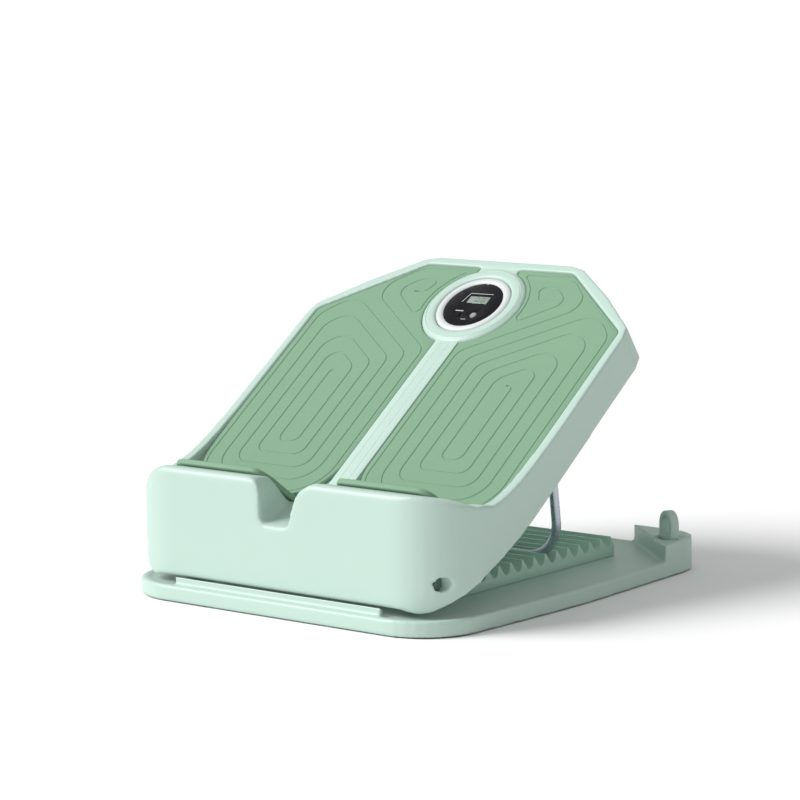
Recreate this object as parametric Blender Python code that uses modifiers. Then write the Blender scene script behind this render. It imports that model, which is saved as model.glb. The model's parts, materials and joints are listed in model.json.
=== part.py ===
"""Slant board: a folding calf-stretch board with a toothed base, a wire prop and a repetition counter.

Metres, +Z up.  The origin is the centre of the base on the floor, +Y points to the rear (the raised
end) and +X to the user's right.  The model is posed with the prop in the ninth groove of the rack.
"""
import math

import bmesh
import bpy
from mathutils import Matrix, Vector

# ---- driving dimensions -------------------------------------------------------------------------
GAP = 0.0003                # air between pieces that touch

BASE_LENGTH = 0.4000
BASE_WIDTH = 0.3575         # at the widest, near the middle of each side
BASE_TAPER = 0.048          # how fast the sides close in toward both ends
BASE_FRONT_RADIUS = 0.054
BASE_REAR_RADIUS = 0.038
BASE_BOTTOM = 0.0016        # the rubber feet stand this proud
BASE_TOP = 0.0132
BASE_RIM_TOP = 0.0142
BASE_RIM_WIDTH = 0.006
BASE_WALL = 0.0032
RIDGE_TOP = 0.0204          # low ridge under the deck's front wall; the wall's toe swings just over it
RIDGE_LENGTH = 0.221

FRONT_Y = -0.1905           # front wall of the deck at rest
HINGE_Y = FRONT_Y + 0.01774
HINGE_Z = 0.04227
TILT = math.radians(35.5)

DECK_HALF = 0.1750
DECK_HALF_REAR = 0.1735
DECK_REAR = 0.3767          # from the hinge axis along the slope
DECK_CORNER = 0.054
DECK_WALL = 0.0035
RIM_TOP = 0.0084            # heights below are normal to the deck, from the hinge axis
PAD_TOP = 0.00705
FLOOR = 0.0032
CEILING = 0.0
WALL_LOW = -0.0274
CHAMFER_SIDE = 0.303
CHAMFER_REAR = 0.083
RIM_WIDTH = 0.0095
INNER_FRONT = 0.061         # where the foot floor starts, along the slope
HEEL_LEAN = 0.30            # how far the heel stop's inner face leans toward the front per unit of height
HEEL_TOP_Z = 0.1142         # top of the heel stop above the floor at rest
STRIP_HALF = 0.0122

COUNTER_V = 0.3178
RING_RADIUS = 0.049
BEZEL_RADIUS = 0.0355
FACE_RADIUS = 0.0280

RACK_HALF = 0.1155
RACK_FRONT = FRONT_Y + 0.062
RACK_REAR = FRONT_Y + 0.3235
GROOVE_FIRST = FRONT_Y + 0.0957
GROOVE_PITCH = 0.01673
GROOVE_COUNT = 14
GROOVE_USED = 8
GROOVE_Z = 0.0216
TOOTH_Z = 0.0312
TOOTH_LEAN = 0.0056

WIRE_RADIUS = 0.0041
WIRE_HALF = 0.1225
WIRE_FOOT_BEND = 0.024
WIRE_TOP_BEND = 0.012
PROP_V = 0.224
PROP_W = -0.020

GREEN_LIGHT = (0.62, 0.79, 0.72, 1.0)
GREEN_SAGE = (0.28, 0.47, 0.31, 1.0)
WHITE = (0.85, 0.86, 0.86, 1.0)
BLACK = (0.01, 0.01, 0.012, 1.0)
STEEL = (0.62, 0.66, 0.72, 1.0)
RUBBER = (0.05, 0.055, 0.05, 1.0)
BOARD_GREEN = (0.02, 0.16, 0.07, 1.0)
NYLON = (0.80, 0.79, 0.74, 1.0)
GLASS_GREY = (0.32, 0.37, 0.33, 1.0)

SIDE_AXES = Matrix(((0, 0, 1, 0), (1, 0, 0, 0), (0, 1, 0, 0), (0, 0, 0, 1)))    # outline in YZ, along X
FRONT_AXES = Matrix(((1, 0, 0, 0), (0, 0, -1, 0), (0, 1, 0, 0), (0, 0, 0, 1)))  # outline in XZ, along Y


# ---- scene --------------------------------------------------------------------------------------
for old in list(bpy.data.objects):
    bpy.data.objects.remove(old, do_unlink=True)


def new_collection(name):
    collection = bpy.data.collections.new(name)
    bpy.context.scene.collection.children.link(collection)
    return collection


PARTS = new_collection("slant_board")
CUTTERS = new_collection("cutters")


def new_empty(name, location, parent=None, tilt=0.0):
    empty = bpy.data.objects.new(name, None)
    PARTS.objects.link(empty)
    empty.location = location
    empty.rotation_euler = (tilt, 0.0, 0.0)
    empty.parent = parent
    return empty


DECK = new_empty("deck_pivot", (0.0, HINGE_Y, HINGE_Z), tilt=TILT)


def material(name, colour, roughness, metallic=0.0):
    made = bpy.data.materials.new(name)
    made.use_nodes = True
    shader = made.node_tree.nodes["Principled BSDF"]
    shader.inputs["Base Color"].default_value = colour
    shader.inputs["Roughness"].default_value = roughness
    shader.inputs["Metallic"].default_value = metallic
    return made


MINT = material("mint_abs", GREEN_LIGHT, 0.42)
SAGE = material("sage_tpe", GREEN_SAGE, 0.62)
BEZEL_WHITE = material("white_abs", WHITE, 0.35)
FACE_BLACK = material("black_gloss", BLACK, 0.12)
WINDOW_GREY = material("lcd_window", GLASS_GREY, 0.2)
BUTTON_GREY = material("button_grey", (0.35, 0.36, 0.38, 1.0), 0.45)
ZINC_STEEL = material("zinc_steel", STEEL, 0.28, 1.0)
FOOT_RUBBER = material("foot_rubber", RUBBER, 0.8)
CIRCUIT = material("circuit_board", BOARD_GREEN, 0.5)
BUSH_NYLON = material("bush_nylon", NYLON, 0.5)


# ---- modelling helpers --------------------------------------------------------------------------
def finish_prism(mesh):
    """Weld a filled outline and make each of its two caps one face."""
    shape = bmesh.new()
    shape.from_mesh(mesh)
    bmesh.ops.remove_doubles(shape, verts=shape.verts, dist=0.000005)
    for sign in (-1, 1):
        cap = [face for face in shape.faces if all(vert.co.z * sign > 0 for vert in face.verts)]
        bmesh.ops.dissolve_faces(shape, faces=cap)
    bmesh.ops.recalc_face_normals(shape, faces=shape.faces)
    shape.to_mesh(mesh)
    shape.free()


def place(name, mesh, look, parent, cutter=False):
    """Link a mesh as a part, or as a hidden wire-drawn cutter when look is None."""
    placed = bpy.data.objects.new(name, mesh)
    if cutter:
        CUTTERS.objects.link(placed)
        placed.hide_render = True
        placed.display_type = "WIRE"
    else:
        PARTS.objects.link(placed)
        mesh.materials.append(look)
    placed.parent = parent
    return placed


def curve_mesh(curve):
    """Evaluate a curve and return it as a welded mesh."""
    holder = bpy.data.objects.new("curve_holder", curve)
    bpy.context.scene.collection.objects.link(holder)
    bpy.context.view_layer.update()
    evaluated = holder.evaluated_get(bpy.context.evaluated_depsgraph_get())
    mesh = bpy.data.meshes.new_from_object(evaluated)
    bpy.data.objects.remove(holder, do_unlink=True)
    return mesh


def prism_mesh(points, thickness, axes=None, centre=(0.0, 0.0, 0.0)):
    """A flat outline with thickness, centred on its plane; axes turns it, centre moves it."""
    curve = bpy.data.curves.new("outline", "CURVE")
    curve.dimensions = "2D"
    curve.fill_mode = "BOTH"
    curve.extrude = thickness / 2
    spline = curve.splines.new("POLY")
    spline.points.add(len(points) - 1)
    for point, (x, y) in zip(spline.points, points):
        point.co = (x, y, 0.0, 1.0)
    spline.use_cyclic_u = True
    mesh = curve_mesh(curve)
    finish_prism(mesh)
    mesh.transform(Matrix.Translation(Vector(centre)) @ (axes or Matrix()))
    return mesh


def slab_mesh(points, low, high):
    return prism_mesh(points, high - low, centre=(0.0, 0.0, (low + high) / 2))


def box_mesh(low, high):
    mesh = bpy.data.meshes.new("box")
    shape = bmesh.new()
    bmesh.ops.create_cube(shape, size=1.0)
    size = Vector(high) - Vector(low)
    bmesh.ops.scale(shape, vec=size, verts=shape.verts)
    bmesh.ops.translate(shape, vec=(Vector(high) + Vector(low)) / 2, verts=shape.verts)
    shape.to_mesh(mesh)
    shape.free()
    return mesh


def rod_mesh(start, end, radius, sides=32, end_radius=None):
    """A round bar from start to end, or a cone when end_radius differs."""
    start = Vector(start)
    end = Vector(end)
    mesh = bpy.data.meshes.new("rod")
    shape = bmesh.new()
    bmesh.ops.create_cone(shape, cap_ends=True, segments=sides, radius1=radius,
                          radius2=radius if end_radius is None else end_radius,
                          depth=(end - start).length)
    turn = (end - start).to_track_quat("Z", "Y").to_matrix().to_4x4()
    bmesh.ops.transform(shape, matrix=Matrix.Translation((start + end) / 2) @ turn, verts=shape.verts)
    shape.to_mesh(mesh)
    shape.free()
    return mesh


def loft_mesh(lower, upper):
    """A closed solid between two loops of the same number of 3-D points."""
    mesh = bpy.data.meshes.new("loft")
    shape = bmesh.new()
    first = [shape.verts.new(p) for p in lower]
    second = [shape.verts.new(p) for p in upper]
    count = len(first)
    shape.faces.new(first)
    shape.faces.new(second)
    for i in range(count):
        j = (i + 1) % count
        shape.faces.new((first[i], first[j], second[j], second[i]))
    bmesh.ops.recalc_face_normals(shape, faces=shape.faces)
    shape.to_mesh(mesh)
    shape.free()
    return mesh


def boolean(target, mesh, operation, parent=None, name="cutter"):
    tool = place(name, mesh, None, parent, cutter=True)
    step = target.modifiers.new(name, "BOOLEAN")
    step.operation = operation
    step.solver = "EXACT"
    step.object = tool
    return tool


def cut(target, mesh, parent=None, name="cut"):
    return boolean(target, mesh, "DIFFERENCE", parent, name)


def join(target, mesh, parent=None, name="join"):
    return boolean(target, mesh, "UNION", parent, name)


def keep(target, mesh, parent=None, name="keep"):
    return boolean(target, mesh, "INTERSECT", parent, name)


def round_edges(target, width, segments=2, angle=50):
    bevel = target.modifiers.new("rounded_edges", "BEVEL")
    bevel.width = width
    bevel.segments = segments
    bevel.limit_method = "ANGLE"
    bevel.angle_limit = math.radians(angle)


def shade_round(target, angle=35):
    target.data.shade_smooth()
    target.data.set_sharp_from_angle(angle=math.radians(angle))


def arc(centre, radius, start, end, steps):
    """Points along an arc, angles in degrees, both ends included."""
    points = []
    for i in range(steps + 1):
        a = math.radians(start + (end - start) * i / steps)
        points.append((centre[0] + radius * math.cos(a), centre[1] + radius * math.sin(a)))
    return points


def mirrored(half):
    """Close a right-hand outline that runs from front to rear by its mirror image."""
    return half + [(-x, y) for x, y in reversed(half)]


def rounded_corner(before, corner, after, radius, steps=4):
    """Replace a sharp corner by an arc of the given radius."""
    b = Vector(before) - Vector(corner)
    a = Vector(after) - Vector(corner)
    half_angle = b.angle(a) / 2
    reach = radius / math.tan(half_angle)
    centre = Vector(corner) + (b.normalized() + a.normalized()).normalized() * radius / math.sin(half_angle)
    first = Vector(corner) + b.normalized() * reach - centre
    last = Vector(corner) + a.normalized() * reach - centre
    points = []
    for i in range(steps + 1):
        t = first.lerp(last, i / steps).normalized() * radius
        points.append(tuple(centre + t))
    return points


# ---- base ---------------------------------------------------------------------------------------
def base_half_width(y, inset=0.0):
    softness = 0.020
    run = math.hypot(y + 0.009, softness) - softness
    return BASE_WIDTH / 2 - BASE_TAPER * run - inset


def base_outline(inset=0.0):
    """Plan of the base: straight ends, gently bulging sides, rounded corners."""
    front = -BASE_LENGTH / 2 + inset
    rear = BASE_LENGTH / 2 - inset
    front_radius = BASE_FRONT_RADIUS - inset
    rear_radius = max(BASE_REAR_RADIUS - inset, 0.004)
    low = front + front_radius
    high = rear - rear_radius
    side_steps = 8
    half = arc((base_half_width(low, inset) - front_radius, low), front_radius, -90, 0, 9)
    for i in range(1, side_steps):
        y = low + (high - low) * i / side_steps
        half.append((base_half_width(y, inset), y))
    half += arc((base_half_width(high, inset) - rear_radius, high), rear_radius, 0, 90, 4)
    return mirrored(half)


BLOCK_TOP = 0.0292
BLOCK_INNER_X = 0.0915      # where the diagonal face of a corner block meets the rear edge
BLOCK_SIDE_Y = 0.1275       # and where it meets the side edge
EYE_X = 0.1520
EYE_Y = 0.1650
EYE_TURN = math.radians(-31)
EYE_HALF = 0.0122
EYE_THICK = 0.0085
EYE_RADIUS = 0.0140         # round recess in the block that the eye stands in
FOOT_PLACES = [(x, y) for y in (-0.165, 0.0, 0.165) for x in (-0.135, 0.135)]
RACK_SCREWS = [(x, y) for y in (-0.095, 0.105) for x in (-0.088, 0.088)]
EAR_X = 0.1180              # centre of each hinge ear
EAR_THICK = 0.012
EAR_HEAD = 0.0100


def base_plate():
    plate = place("base_plate", slab_mesh(base_outline(), BASE_BOTTOM, BASE_RIM_TOP), MINT, None)
    cut(plate, slab_mesh(base_outline(BASE_RIM_WIDTH), BASE_TOP, 0.05), name="tray")
    cavity_top = BASE_TOP - BASE_WALL
    cavity = place("base_cavity", slab_mesh(base_outline(BASE_WALL), -0.01, cavity_top), None, None, True)
    for x in (-0.06, 0.06):
        cut(cavity, box_mesh((x - 0.0012, -0.3, -0.02), (x + 0.0012, 0.3, 0.02)), name="base_rib_long")
    for y in (-0.115, 0.0, 0.115):
        cut(cavity, box_mesh((-0.3, y - 0.0012, -0.02), (0.3, y + 0.0012, 0.02)), name="base_rib_cross")
    for x, y in FOOT_PLACES:
        cut(cavity, rod_mesh((x, y, -0.02), (x, y, 0.02), 0.0125, 20), name="foot_boss")
    for x, y in RACK_SCREWS:
        cut(cavity, rod_mesh((x, y, -0.02), (x, y, 0.02), 0.0065, 16), name="screw_boss")
    for side in (-1, 1):
        cut(cavity, box_mesh(*sorted_box((side * 0.108, -0.164, -0.02), (side * 0.128, -0.130, 0.02))),
            name="ear_pad")
    step = plate.modifiers.new("cavity", "BOOLEAN")
    step.operation = "DIFFERENCE"
    step.object = cavity
    ridge = [(FRONT_Y - 0.0024, BASE_TOP - 0.002), (FRONT_Y + 0.0010, BASE_TOP - 0.002),
             (FRONT_Y + 0.0010, RIDGE_TOP - 0.0018), (FRONT_Y - 0.0004, RIDGE_TOP - 0.0002),
             (FRONT_Y - 0.0024, RIDGE_TOP)]
    join(plate, prism_mesh(ridge, RIDGE_LENGTH, SIDE_AXES), name="front_ridge")
    for side in (-1, 1):
        join(plate, corner_block(side), name="corner_block")
    for side in (-1, 1):
        join(plate, hinge_ear(side), name="hinge_ear")
    for x, y in FOOT_PLACES:
        cut(plate, rod_mesh((x, y, -0.02), (x, y, 0.0036), 0.0098, 20), name="foot_socket")
    for x, y in RACK_SCREWS:
        cut(plate, rod_mesh((x, y, -0.02), (x, y, 0.05), 0.0019, 12), name="screw_hole")
        cut(plate, rod_mesh((x, y, -0.02), (x, y, 0.0062), 0.0042, 16), name="screw_counterbore")
    for side in (-1, 1):
        cut(plate, rod_mesh((side * 0.09, HINGE_Y, HINGE_Z), (side * 0.14, HINGE_Y, HINGE_Z), 0.0067, 24),
            name="bush_bore")
        cut(plate, rod_mesh((side * EYE_X, EYE_Y, BLOCK_TOP - 0.002), (side * EYE_X, EYE_Y, 0.05),
                            EYE_RADIUS, 24), name="eye_recess")
        socket = box_mesh((-EYE_HALF - GAP, -EYE_THICK / 2 - GAP, BLOCK_TOP - 0.016),
                          (EYE_HALF + GAP, EYE_THICK / 2 + GAP, 0.05))
        socket.transform(eye_place(side))
        cut(plate, socket, name="eye_socket")
    shade_round(plate)
    return plate


def sorted_box(first, second):
    """The same box with its lowest corner first."""
    return [min(a, b) for a, b in zip(first, second)], [max(a, b) for a, b in zip(first, second)]


def corner_block(side):
    """Raised triangular block in a rear corner of the base; its diagonal face clears the folded deck."""
    rear = BASE_LENGTH / 2
    high = rear - BASE_REAR_RADIUS
    outline = [(BLOCK_INNER_X, rear - 0.0002)]
    outline.append((base_half_width(BLOCK_SIDE_Y) - 0.0001, BLOCK_SIDE_Y))
    for i in range(1, 4):
        y = BLOCK_SIDE_Y + (high - BLOCK_SIDE_Y) * i / 4
        outline.append((base_half_width(y) - 0.0001, y))
    outline += arc((base_half_width(high) - BASE_REAR_RADIUS - 0.0001, high - 0.0002),
                   BASE_REAR_RADIUS, 0, 90, 4)
    return slab_mesh([(side * x, y) for x, y in outline], BASE_BOTTOM + 0.0045, BLOCK_TOP)


def hinge_ear(side):
    """Bracket that carries the hinge bush: it leans forward so the deck's front wall can swing under it."""
    outline = [(HINGE_Y + 0.0145, BASE_TOP - 0.002), (HINGE_Y + 0.0380, BASE_TOP - 0.002),
               (HINGE_Y + 0.0350, BASE_TOP + 0.004)]
    outline += arc((HINGE_Y, HINGE_Z), EAR_HEAD, 40, 250, 14)
    outline.append((HINGE_Y + 0.0035, HINGE_Z - 0.0165))
    return prism_mesh(outline, EAR_THICK, SIDE_AXES, (side * EAR_X, 0.0, 0.0))


def rubber_feet():
    for i, (x, y) in enumerate(FOOT_PLACES):
        foot = place(f"rubber_foot_{i + 1}", rod_mesh((0, 0, 0), (0, 0, 0.0033), 0.0094, 24), FOOT_RUBBER, None)
        foot.location = (x, y, 0.0)
        round_edges(foot, 0.0006, 1)
        shade_round(foot)


def rack_profile():
    """Side outline of the rack: each groove has a round bottom, a slope in front and a steep rear wall."""
    seat = WIRE_RADIUS + GAP
    low = BASE_TOP + GAP
    points = [(RACK_FRONT, low), (RACK_FRONT, 0.0255), (RACK_FRONT + 0.0045, TOOTH_Z)]
    for i in range(GROOVE_COUNT):
        y = GROOVE_FIRST + i * GROOVE_PITCH
        centre_z = GROOVE_Z + seat
        points.append((y - GROOVE_PITCH + TOOTH_LEAN + 0.0014, TOOTH_Z))
        points += arc((y, centre_z), seat, 222, 352, 6)
        points.append((y + TOOTH_LEAN - 0.0004, TOOTH_Z))
    points += [(RACK_REAR - 0.004, 0.0275), (RACK_REAR, 0.0225), (RACK_REAR, low)]
    return points


def tooth_rack():
    rack = place("tooth_rack", prism_mesh(rack_profile(), 2 * RACK_HALF, SIDE_AXES), MINT, None)
    roof = GROOVE_Z - 0.0036
    for low_x, high_x in ((-0.1115, -0.0012), (0.0012, 0.1115)):
        hollow = place("rack_hollow", box_mesh((low_x, RACK_FRONT + 0.004, 0.0), (high_x, RACK_REAR - 0.004, roof)),
                       None, None, True)
        step = rack.modifiers.new("hollow", "BOOLEAN")
        step.operation = "DIFFERENCE"
        step.object = hollow
        for x, y in RACK_SCREWS:
            if low_x < x < high_x:
                cut(hollow, rod_mesh((x, y, -0.01), (x, y, 0.05), 0.0060, 16), name="rack_boss")
    for x, y in RACK_SCREWS:
        cut(rack, rod_mesh((x, y, 0.0), (x, y, 0.0172), 0.0019, 12), name="rack_pilot")
    shade_round(rack)
    return rack


def rack_screws():
    for i, (x, y) in enumerate(RACK_SCREWS):
        shank = place(f"rack_screw_{i + 1}", rod_mesh((0, 0, 0.0036), (0, 0, 0.0164), 0.0016, 12), ZINC_STEEL, None)
        shank.location = (x, y, 0.0)
        join(shank, rod_mesh((x, y, 0.0034), (x, y, 0.0058), 0.0036, 16), name="screw_head")
        cut(shank, box_mesh((x - 0.0026, y - 0.0005, 0.0), (x + 0.0026, y + 0.0005, 0.0045)), name="slot")


def eye_place(side):
    """Where a band eye stands: turned to face along the diagonal of its corner block."""
    return Matrix.Translation((side * EYE_X, EYE_Y, 0.0)) @ Matrix.Rotation(side * EYE_TURN, 4, "Z")


def band_eyes():
    """Moulded eyes in the rear corner blocks, where a pull band is hooked on."""
    crown = 0.0530 - EYE_HALF
    hole_half = 0.0070
    outline = [(-EYE_HALF, BLOCK_TOP - 0.0155), (EYE_HALF, BLOCK_TOP - 0.0155)]
    outline += arc((0.0, crown), EYE_HALF, 0, 180, 12)
    hole = [(-hole_half, 0.0318), (hole_half, 0.0318)] + arc((0.0, crown), hole_half, 0, 180, 10)
    for side, word in ((-1, "left"), (1, "right")):
        body = prism_mesh(outline, EYE_THICK, FRONT_AXES)
        body.transform(eye_place(side))
        eye = place(f"band_eye_{word}", body, MINT, None)
        opening = prism_mesh(hole, 0.03, FRONT_AXES)
        opening.transform(eye_place(side))
        cut(eye, opening, name="eye_hole")
        round_edges(eye, 0.0012, 2)
        shade_round(eye)


def hinge_hardware():
    """A nylon bush in each ear and a steel pin through the deck's side wall into it."""
    for side, word in ((-1, "left"), (1, "right")):
        inner = side * (EAR_X - EAR_THICK / 2)
        outer = side * (EAR_X + EAR_THICK / 2)
        bush = place(f"hinge_bush_{word}", rod_mesh((inner, 0, 0), (outer, 0, 0), 0.0064, 24), BUSH_NYLON, None)
        bush.location = (0.0, HINGE_Y, HINGE_Z)
        cut(bush, rod_mesh((side * 0.09, HINGE_Y, HINGE_Z), (side * 0.14, HINGE_Y, HINGE_Z), 0.00508, 24),
            name="bush_hole")
        shade_round(bush)
        pin = place(f"hinge_pin_{word}", rod_mesh((side * 0.1115, 0, 0), (side * 0.1535, 0, 0), 0.0050, 24),
                    ZINC_STEEL, DECK)
        round_edges(pin, 0.0006, 1)
        shade_round(pin)


# ---- deck ---------------------------------------------------------------------------------------
def to_deck(y, z):
    """Side-view point from the board's own axes at rest to the deck's slope axes (v, w)."""
    dy = y - HINGE_Y
    dz = z - HINGE_Z
    v = dy * math.cos(TILT) + dz * math.sin(TILT)
    w = -dy * math.sin(TILT) + dz * math.cos(TILT)
    return v, w


def side_top(v):
    """Height of the side rims: high beside the heel stop, easing down to the flat rim."""
    return RIM_TOP + 0.059 * math.exp(-(v - 0.029) / 0.036) * max(0.0, 1 - v / 0.24)


def side_low(v):
    """Lower edge of the side walls, which rises toward the hinge so the front can swing down."""
    t = min(max((0.110 - v) / 0.125, 0.0), 1.0)
    return WALL_LOW + 0.0107 * t * t * (3 - 2 * t)


def deck_side_profile():
    """Side outline of the deck: lower edge, rear edge, rim, heel stop top, front wall, rounded toe."""
    points = [(v, side_low(v)) for v in (-0.0150, -0.006, 0.015, 0.035, 0.055, 0.075, 0.092)]
    points += [(0.110, WALL_LOW), (0.40, WALL_LOW), (0.40, RIM_TOP)]
    points += [(v, side_top(v)) for v in (0.24, 0.19, 0.155, 0.13, 0.11, 0.095, 0.082, 0.072)]
    points.append(to_deck(FRONT_Y + 0.0550, 0.1028))
    points.append(to_deck(FRONT_Y + 0.0420, 0.1032))
    points.append(to_deck(FRONT_Y + 0.0277, 0.1100))
    points.append(to_deck(FRONT_Y + 0.0050, HEEL_TOP_Z))
    points.append(to_deck(FRONT_Y + 0.0015, HEEL_TOP_Z - 0.0010))
    points.append(to_deck(FRONT_Y, HEEL_TOP_Z - 0.0045))
    points.append(to_deck(FRONT_Y, 0.0226))
    points += [(-0.0252, -0.0118), (-0.0225, -0.0148), (-0.0190, -0.0163)]
    return points


def deck_plan(inset=0.0):
    """Outline of the deck seen square on: near-parallel sides and two chamfered rear corners."""
    diagonal = inset * 0.42
    return [(-DECK_HALF + inset, -0.2), (DECK_HALF - inset, -0.2), (DECK_HALF - inset, 0.1),
            (DECK_HALF_REAR - inset, CHAMFER_SIDE - diagonal - 0.012),
            (DECK_HALF_REAR - inset - 0.0035, CHAMFER_SIDE - diagonal + 0.002),
            (0.5 * (DECK_HALF_REAR + CHAMFER_REAR) - inset * 0.7 + 0.0015,
             0.5 * (CHAMFER_SIDE + DECK_REAR) - inset * 0.7 + 0.0015),
            (CHAMFER_REAR - diagonal + 0.004, DECK_REAR - inset - 0.0035),
            (CHAMFER_REAR - diagonal - 0.010, DECK_REAR - inset)]


def closed_plan(inset=0.0):
    half = deck_plan(inset)[1:]
    return half + [(-x, y) for x, y in reversed(half)]


def rest_plan(inset=0.0):
    """Plan at rest: a straight front wall and two large vertical corners, open-ended to the rear."""
    half = DECK_HALF - inset
    radius = DECK_CORNER - inset
    front = FRONT_Y + inset
    right = arc((half - radius, front + radius), radius, -90, 0, 9)
    right = [(x + (0.01 if x >= half - 1e-6 else 0.0), y) for x, y in right]
    right.append((half + 0.01, 0.4))
    return mirrored(right)


def corner_falls(lift=0.0):
    """Above this line the heel stop is cut away at its two ends, seen from the front."""
    line = [(0.118, 0.1500), (0.118, 0.1160), (0.134, 0.1143), (0.145, 0.1132), (0.153, 0.1117), (0.160, 0.1097),
            (0.166, 0.1072), (0.171, 0.1048), (0.175, 0.1026), (0.200, 0.1020), (0.200, 0.1500)]
    return [(x, z - lift) for x, z in line]


def notch_loop(y, floor, left, right, grow):
    """Cross-section of the heel notch at depth y: distances from the middle at heights above its floor."""
    loop = []
    for half, height in right:
        loop.append((half + grow, y, floor + height - (grow if height == 0 else 0.0)))
    for half, height in reversed(left):
        loop.append((-half - grow, y, floor + height - (grow if height == 0 else 0.0)))
    return loop


def notch_mesh(grow=0.0):
    """The notch: a channel through the heel stop that opens out to the space between the heel pads."""
    left = [(0.0135, 0.0), (0.0160, 0.003), (0.0168, 0.014), (0.0170, 0.026), (0.0182, 0.032),
            (0.0215, 0.0368), (0.030, 0.0395), (0.060, 0.060)]
    right = [(0.0065, 0.0), (0.0092, 0.003), (0.0118, 0.014), (0.0165, 0.026), (0.0215, 0.032),
             (0.0300, 0.0368), (0.042, 0.040), (0.060, 0.060)]
    rear = [(0.0345, 0.0), (0.0370, 0.003), (0.0385, 0.010), (0.0390, 0.018), (0.0395, 0.024),
            (0.0400, 0.030), (0.0410, 0.036), (0.0440, 0.060)]
    front_loop = notch_loop(FRONT_Y - 0.004, 0.0742, left, right, grow)
    return loft_mesh(front_loop, notch_loop(FRONT_Y + 0.0605, 0.0838, rear, rear, grow))


def foot_area(front, side, rear, corner, chamfer_inset):
    """Right-hand outline of the recessed foot area, front to rear."""
    shift = chamfer_inset * 0.42
    right = rounded_corner((0.0, front), (side, front), (side, 0.2), corner, 8)
    right += rounded_corner((side, 0.2), (side, CHAMFER_SIDE - shift), (CHAMFER_REAR - shift, rear), 0.010, 3)
    right += rounded_corner((side, CHAMFER_SIDE - shift), (CHAMFER_REAR - shift, rear), (0.0, rear), 0.012, 3)
    return right


def inner_void():
    """The open space above the foot floor, whose front leans toward the user's heel."""
    right = foot_area(INNER_FRONT, DECK_HALF - RIM_WIDTH, DECK_REAR - 0.0085, 0.026, 0.009)
    outline = mirrored(right)
    top = 0.09
    lower = [(x, v, FLOOR) for x, v in outline]
    upper = []
    for x, v in outline:
        weight = min(max((0.130 - v) / 0.05, 0.0), 1.0)
        upper.append((x, v - HEEL_LEAN * (top - FLOOR) * weight, top))
    return loft_mesh(lower, upper)


def centre_strip():
    """Raised strip between the foot pads with the counter's ring in it."""
    start = math.degrees(math.acos(STRIP_HALF / RING_RADIUS))
    right = [(STRIP_HALF, INNER_FRONT - 0.008)]
    right += arc((0.0, COUNTER_V), RING_RADIUS, -start, 64, 16)
    right.append((0.0200, DECK_REAR - 0.0050))
    return mirrored(right)


def deck_hollow():
    """The space inside the deck shell, open at the bottom."""
    inner = DECK_WALL
    outline = [(-0.12, -0.10), (0.37, -0.10), (DECK_REAR - inner, CEILING), (INNER_FRONT - 0.002, CEILING),
               to_deck(FRONT_Y + 0.0235, HEEL_TOP_Z - 0.0082), to_deck(FRONT_Y + inner, HEEL_TOP_Z - 0.0050),
               to_deck(FRONT_Y + inner, -0.02)]
    hollow = place("deck_hollow", prism_mesh(outline, 2 * (DECK_HALF - inner) + 0.02, SIDE_AXES), None, DECK, True)
    keep(hollow, slab_mesh(closed_plan(inner), -0.2, 0.2), DECK, "hollow_plan")
    keep(hollow, slab_mesh(rest_plan(inner), -0.2, 0.4), None, "hollow_front")
    for side in (-1, 1):
        falls = [(side * x, z) for x, z in corner_falls(0.0045)]
        cut(hollow, prism_mesh(falls, 0.20, FRONT_AXES, (0.0, FRONT_Y, 0.0)), None, "hollow_falls")
        side_wall = [(INNER_FRONT - 0.05, CEILING), (0.30, CEILING), (0.30, 0.1), (INNER_FRONT - 0.05, 0.1)]
        cut(hollow, prism_mesh(side_wall, 0.02, SIDE_AXES, (side * (DECK_HALF - 0.0005), 0.0, 0.0)), DECK,
            "thick_side")
    cut(hollow, notch_mesh(0.003), None, "notch_wall")
    for x in (-0.064, 0.064):
        cut(hollow, box_mesh((x - 0.0011, 0.085, -0.011), (x + 0.0011, 0.40, 0.01)), DECK, "long_rib")
    cut(hollow, box_mesh((-0.2, 0.1489, -0.011), (0.2, 0.1511, 0.01)), DECK, "cross_rib")
    for side in (-1, 1):
        cut(hollow, rod_mesh((side * 0.1256, 0, 0), (side * 0.18, 0, 0), 0.0095, 24), DECK, "hinge_boss")
        for v in CLIP_SCREW_V:
            cut(hollow, rod_mesh((side * CLIP_X, v, -0.0095), (side * CLIP_X, v, 0.01), 0.0048, 16), DECK,
                "clip_boss")
    cut(hollow, rod_mesh((0, COUNTER_V, -0.0155), (0, COUNTER_V, 0.02), 0.0400, 40), DECK, "counter_well")
    return hollow


CLIP_X = 0.1020
CLIP_SCREW_V = (PROP_V - 0.013, PROP_V + 0.013)


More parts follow.
